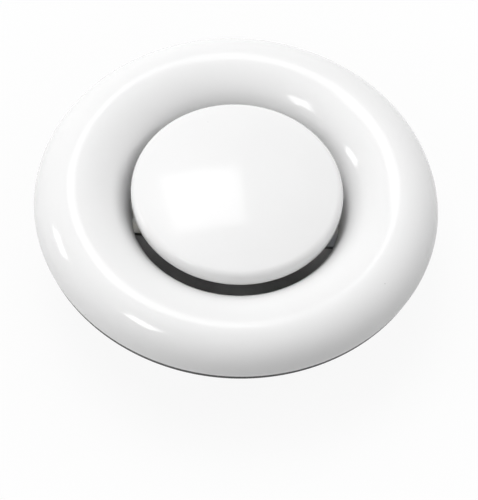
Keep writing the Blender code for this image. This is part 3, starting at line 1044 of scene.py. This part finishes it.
aluminium = Finish("satin_aluminium", (0.70, 0.70, 0.71, 1), 0.38, 1.0)
knocks = aluminium.noise(KNOCK_SCALE, detail=4)
aluminium.set("Base Color", aluminium.blend(knocks, grey(0.60), grey(0.76)))
aluminium.set("Roughness", aluminium.vary(knocks, 0.30, 0.46))
aluminium.set("Normal", aluminium.bump(knocks, KNOCK_DEPTH, strength=0.5))
dress(aluminium, *pieces_named("bar_fixing"), *pieces_named("spring_fixing"))

# %% [markdown]
# ## Foam
#
# Closed-cell foam is matt and dark, and under a lens it is all small cells. The cells are a fine Voronoi
# pattern that sinks their middles, with painted shade that darkens the middles and lightens the walls.

# %% Grey foam
CELL_SCALE = 1900
CELL_WALL = 0.35
CELL_DEPTH = 0.00012

foam = Finish("closed_cell_foam", (0.10, 0.10, 0.105, 1), 0.9, 0.0)
hollow_depth_and_painted_shade = foam.spread(foam.cells(CELL_SCALE, feature="DISTANCE_TO_EDGE"), 0.0, CELL_WALL)
wall_height_and_painted_shade = 1 - hollow_depth_and_painted_shade
# Painted shade: the cell middles are coloured darker than the walls, as if shaded in their hollows.
foam.set("Base Color", foam.blend(wall_height_and_painted_shade, grey(0.075), grey(0.15)))
foam.set("Normal", foam.bump(wall_height_and_painted_shade, CELL_DEPTH, strength=0.8))
dress(foam, gasket_ring)

# %% [markdown]
# ## Light
#
# The photo is a cut-out on pure white with soft studio light. Most of it comes from above and behind, so
# the side of the bulge that faces the camera falls to grey. A window leaves its mark on the crest and on
# the disc, and two small lamps on the left leave theirs on the ring. The world shows white to the camera
# and to mirrored rays, and lights the valve only a little.

# %% World
WORLD_LIGHT = 0.12

world = bpy.data.worlds.new("studio")
bpy.context.scene.world = world
world.use_nodes = True
studio = Graph(world.node_tree)
backdrop = studio.tree.nodes["Background"]
studio.feed(backdrop.inputs["Color"], grey(1.0))
studio.feed(backdrop.inputs["Strength"], studio.seen() * (1 - WORLD_LIGHT) + WORLD_LIGHT)
print("the world has", len(studio.tree.nodes), "nodes")

# %% [markdown]
# The floor is pale paper. To the camera and in mirrors it glows, so that its shadow stays faint, but not
# under the neck: through the throat one looks down to it there, and it has to be as dark as a closed duct
# is. The glow goes up to pure white away from the valve.

# %% Floor
FLOOR_SIZE = 6.0
FLOOR_GAP = 0.0002
FLOOR_TONE = 0.70
FLOOR_GLOW = 0.91
FADE_END = 0.17

bpy.ops.object.select_all(action="DESELECT")
bpy.ops.mesh.primitive_plane_add(size=FLOOR_SIZE, location=(0, 0, -FLOOR_GAP))
floor = bpy.context.active_object
floor.name = "floor"
paper = Finish("floor_paper", grey(FLOOR_TONE), 0.9, 0.0)
paper.set("Specular IOR Level", 0.0)
far = paper.node("ShaderNodeVectorMath", {"operation": "LENGTH"}, {0: paper.place}, "Value")
glow = (far > neck_radius) * paper.spread(far, neck_radius, FADE_END, FLOOR_GLOW, 1.0)
plain = Value(paper, paper.shader.outputs[0])
white = paper.node("ShaderNodeEmission", {}, {})
mixed = paper.node("ShaderNodeMixShader", {}, {0: paper.seen() * glow, 1: plain, 2: white})
paper.feed(paper.tree.nodes["Material Output"].inputs["Surface"], mixed)
dress(paper, floor)

# %% [markdown]
# A lamp either lights the valve or is mirrored in it. The large soft ones only light, so that they leave no
# square marks, and their strengths were found by matching the greys along the ring. The window and the two
# spots are only mirrored.

# %% Lamps
LAMP_TARGET = Vector((0, 0, 0.035))
LAMP_DISTANCE = 2.0
SOFT_SIDE = 1.0


def add_lamp(name, azimuth, elevation, light, side=SOFT_SIDE, mirrored=False):
    """A square lamp that faces the valve. Its light is in W/m2, measured at the valve."""
    data = bpy.data.lights.new(name, "AREA")
    data.size = side
    data.energy = light * math.pi * LAMP_DISTANCE**2
    lamp = bpy.data.objects.new(name, data)
    bpy.context.scene.collection.objects.link(lamp)
    place = LAMP_TARGET + LAMP_DISTANCE * from_angles(azimuth, elevation)
    facing = (LAMP_TARGET - place).to_track_quat("-Z", "Y").to_matrix().to_4x4()
    lamp.matrix_world = Matrix.Translation(place) @ facing
    lamp.visible_glossy = mirrored
    lamp.visible_diffuse = not mirrored
    print(f"{name} gives {data.energy:.1f} W")


add_lamp("overhead_left", -130, 70, 1.10)
add_lamp("back_left", -150, 54, 0.72)
add_lamp("back", 180, 61, 0.90)
add_lamp("left", -80, 38, 0.26)
add_lamp("low_left", -84, 15, 0.60)
add_lamp("front", 0, 18, 0.46)
add_lamp("right", 108, 36, 0.52)
add_lamp("window", -167, 59.5, 0.17, side=0.56, mirrored=True)
add_lamp("left_spot", -51, 52, 0.30, side=0.42, mirrored=True)
add_lamp("low_spot", -99, 25, 0.30, side=0.42, mirrored=True)
bpy.context.scene.view_settings.view_transform = "Standard"
